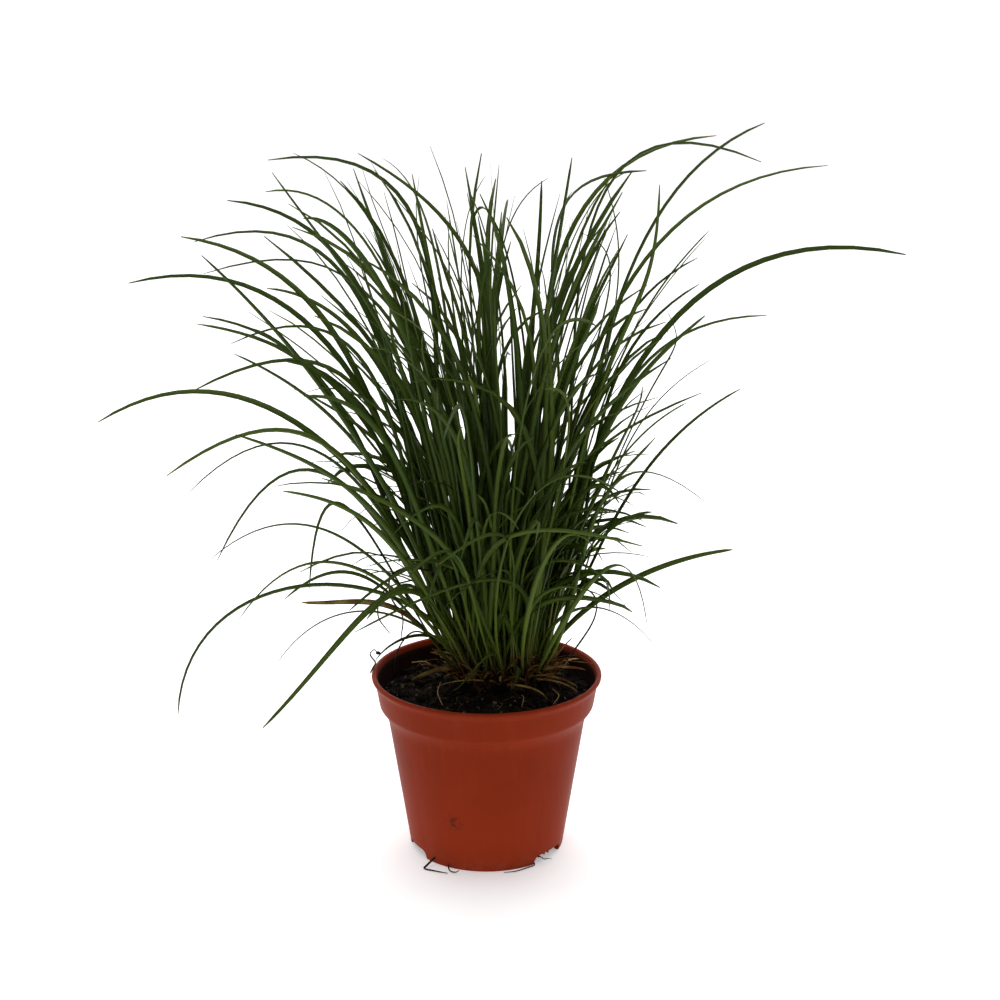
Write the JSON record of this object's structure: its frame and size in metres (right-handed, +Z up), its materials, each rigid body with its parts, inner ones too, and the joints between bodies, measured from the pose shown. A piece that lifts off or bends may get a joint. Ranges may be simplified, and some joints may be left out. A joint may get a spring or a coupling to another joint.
{
  "type": "potted ornamental grass clump",
  "caption": "Arching clump of narrow green leaves growing from a crown in a round terracotta-coloured plastic nursery pot with feet.",
  "frame": {"origin": "on the pot's axis, level with the undersides of its feet", "axes": "+Z up along the pot's axis; +X to the right and +Y to the back as the clump is seen from its front"},
  "size_m": [0.3993, 0.3317, 0.3681],
  "materials": {
    "pot_plastic": "terracotta-coloured injection-moulded plastic, satin, lightly scuffed and dusty",
    "soil": null,
    "dry_sheath": null,
    "leaf": null
  },
  "bodies": {
    "root": {"crown": "dry_sheath", "leaf_back_01": "leaf", "leaf_back_02": "leaf", "leaf_back_03": "leaf", "leaf_front_01": "leaf", "leaf_front_02": "leaf", "leaf_front_03": "leaf", "leaf_front_04": "leaf", "leaf_left_01": "leaf", "leaf_left_02": "leaf", "leaf_left_03": "leaf", "leaf_left_04": "leaf", "leaf_left_05": "leaf", "leaf_left_06": "leaf", "leaf_left_07": "leaf", "leaf_left_08": "leaf", "leaf_left_09": "leaf", "leaf_left_10": "leaf", "leaf_left_11": "leaf", "leaf_left_12": "leaf", "leaf_left_13": "leaf", "leaf_left_14": "leaf", "leaf_left_15": "leaf", "leaf_left_16": "leaf", "leaf_left_17": "leaf", "leaf_left_18": "leaf", "leaf_left_19": "leaf", "leaf_left_20": "leaf", "leaf_left_21": "leaf", "leaf_left_22": "leaf", "leaf_left_23": "leaf", "leaf_right_01": "leaf", "leaf_right_02": "leaf", "leaf_right_03": "leaf", "leaf_right_04": "leaf", "leaf_right_05": "leaf", "leaf_right_06": "leaf", "leaf_right_07": "leaf", "leaf_right_08": "leaf", "leaf_right_09": "leaf", "leaf_right_10": "leaf", "leaf_right_11": "leaf", "leaf_right_12": "leaf", "leaf_right_13": "leaf", "pot": "pot_plastic", "potting_soil": "soil", "tuft_01": "leaf", "tuft_02": "leaf", "tuft_03": "leaf", "tuft_04": "leaf", "tuft_05": "leaf", "tuft_06": "leaf", "tuft_07": "leaf", "tuft_08": "leaf", "tuft_09": "leaf", "tuft_10": "leaf", "tuft_11": "leaf", "tuft_12": "leaf", "tuft_13": "leaf", "tuft_14": "leaf"}
  },
  "joints": []
}
